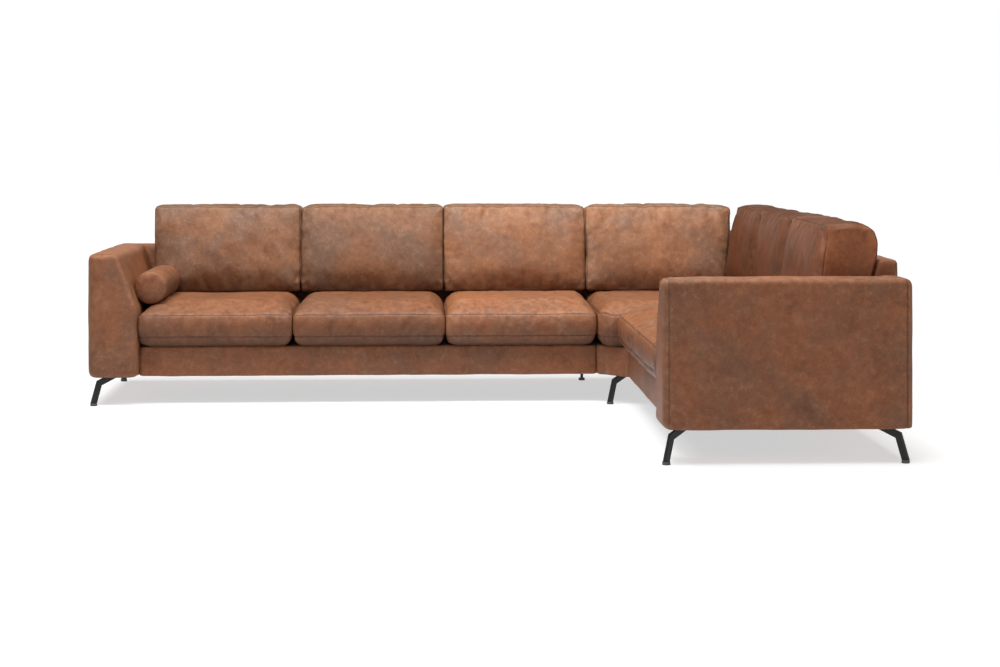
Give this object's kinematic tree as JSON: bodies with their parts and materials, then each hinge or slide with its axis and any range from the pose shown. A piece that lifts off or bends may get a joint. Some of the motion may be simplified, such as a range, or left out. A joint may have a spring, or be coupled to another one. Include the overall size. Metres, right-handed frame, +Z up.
{
  "type": "corner sofa",
  "caption": "L-shaped leather corner sofa with wide arms, loose seat and back cushions, a bolster and splayed flat-bar metal legs.",
  "frame": {"origin": "middle of the sofa's footprint rectangle, at floor level", "axes": "+X along the long run, away from its arm and towards the corner; +Y towards the long run's back; +Z up. The return run goes from the corner towards -Y"},
  "size_m": [3.35, 2.65, 0.889],
  "materials": {
    "body_leather": "satin",
    "seat_leather": "satin",
    "back_leather": "satin",
    "bolster_leather": "satin",
    "deck_cloth": "matte",
    "dust_cloth": "matte",
    "felt": "matte",
    "timber": "matte",
    "spring_steel": "satin",
    "clip_steel": "satin",
    "screw_steel": "satin",
    "glide_plastic": "matte",
    "black_steel": "satin"
  },
  "bodies": {
    "sofa": {"corner_back_frame": "timber", "corner_base_frame": "timber", "corner_dust_cover": "dust_cloth", "corner_front_rail": "body_leather", "corner_rear_back_cover": "body_leather", "corner_seat_deck": "deck_cloth", "corner_seat_springs": "spring_steel", "corner_side_back_cover": "body_leather", "corner_spring_felt": "felt", "joining_plates": "black_steel", "left_arm_cover": "body_leather", "left_arm_frame": "timber", "leg_block": "timber", "leg_glides": "glide_plastic", "leg_inner_corner": "black_steel", "leg_left_front": "black_steel", "leg_left_rear": "black_steel", "leg_long_seam": "black_steel", "leg_outer_corner": "black_steel", "leg_return_front": "black_steel", "leg_return_rear": "black_steel", "leg_return_seam": "black_steel", "long_back_cover": "body_leather", "long_back_frame": "timber", "long_base_frame": "timber", "long_dust_cover": "dust_cloth", "long_front_rail": "body_leather", "long_seat_deck": "deck_cloth", "long_seat_springs": "spring_steel", "long_spring_felt": "felt", "plate_screws": "screw_steel", "return_arm_cover": "body_leather", "return_arm_frame": "timber", "return_back_cover": "body_leather", "return_back_frame": "timber", "return_base_frame": "timber", "return_dust_cover": "dust_cloth", "return_front_rail": "body_leather", "return_seat_deck": "deck_cloth", "return_seat_springs": "spring_steel", "return_spring_felt": "felt", "spring_clips": "clip_steel"},
    "seat_long_1": {"seat_cushion_long_1": "seat_leather"},
    "seat_long_2": {"seat_cushion_long_2": "seat_leather"},
    "seat_long_3": {"seat_cushion_long_3": "seat_leather"},
    "seat_corner": {"seat_cushion_corner": "seat_leather"},
    "seat_return_1": {"seat_cushion_return_1": "seat_leather"},
    "seat_return_2": {"seat_cushion_return_2": "seat_leather"},
    "back_long_1": {"back_cushion_long_1": "back_leather"},
    "back_long_2": {"back_cushion_long_2": "back_leather"},
    "back_long_3": {"back_cushion_long_3": "back_leather"},
    "back_corner_rear": {"back_cushion_corner_rear": "back_leather"},
    "back_corner_side": {"back_cushion_corner_side": "back_leather"},
    "back_return_1": {"back_cushion_return_1": "back_leather"},
    "back_return_2": {"back_cushion_return_2": "back_leather"},
    "bolster": {"bolster": "bolster_leather"}
  },
  "joints": [
    {"name": "seat_long_1_lift", "type": "slide", "parent": "sofa", "child": "seat_long_1", "axis": [0, 0, 1], "range_m": [0, 0.65]},
    {"name": "seat_long_2_lift", "type": "slide", "parent": "sofa", "child": "seat_long_2", "axis": [0, 0, 1], "range_m": [0, 0.65]},
    {"name": "seat_long_3_lift", "type": "slide", "parent": "sofa", "child": "seat_long_3", "axis": [0, 0, 1], "range_m": [0, 0.65]},
    {"name": "seat_corner_lift", "type": "slide", "parent": "sofa", "child": "seat_corner", "axis": [0, 0, 1], "range_m": [0, 0.65]},
    {"name": "seat_return_1_lift", "type": "slide", "parent": "sofa", "child": "seat_return_1", "axis": [0, 0, 1], "range_m": [0, 0.65]},
    {"name": "seat_return_2_lift", "type": "slide", "parent": "sofa", "child": "seat_return_2", "axis": [0, 0, 1], "range_m": [0, 0.65]},
    {"name": "back_long_1_lift", "type": "slide", "parent": "seat_long_1", "child": "back_long_1", "axis": [0, 0, 1], "range_m": [0, 0.45]},
    {"name": "back_long_2_lift", "type": "slide", "parent": "seat_long_2", "child": "back_long_2", "axis": [0, 0, 1], "range_m": [0, 0.45]},
    {"name": "back_long_3_lift", "type": "slide", "parent": "seat_long_3", "child": "back_long_3", "axis": [0, 0, 1], "range_m": [0, 0.45]},
    {"name": "back_corner_rear_lift", "type": "slide", "parent": "seat_corner", "child": "back_corner_rear", "axis": [0, 0, 1], "range_m": [0, 0.45]},
    {"name": "back_corner_side_lift", "type": "slide", "parent": "seat_corner", "child": "back_corner_side", "axis": [0, 0, 1], "range_m": [0, 0.45]},
    {"name": "back_return_1_lift", "type": "slide", "parent": "seat_return_1", "child": "back_return_1", "axis": [0, 0, 1], "range_m": [0, 0.45]},
    {"name": "back_return_2_lift", "type": "slide", "parent": "seat_return_2", "child": "back_return_2", "axis": [0, 0, 1], "range_m": [0, 0.45]},
    {"name": "bolster_lift", "type": "slide", "parent": "seat_long_1", "child": "bolster", "axis": [0, 0, 1], "range_m": [0, 0.45]}
  ]
}
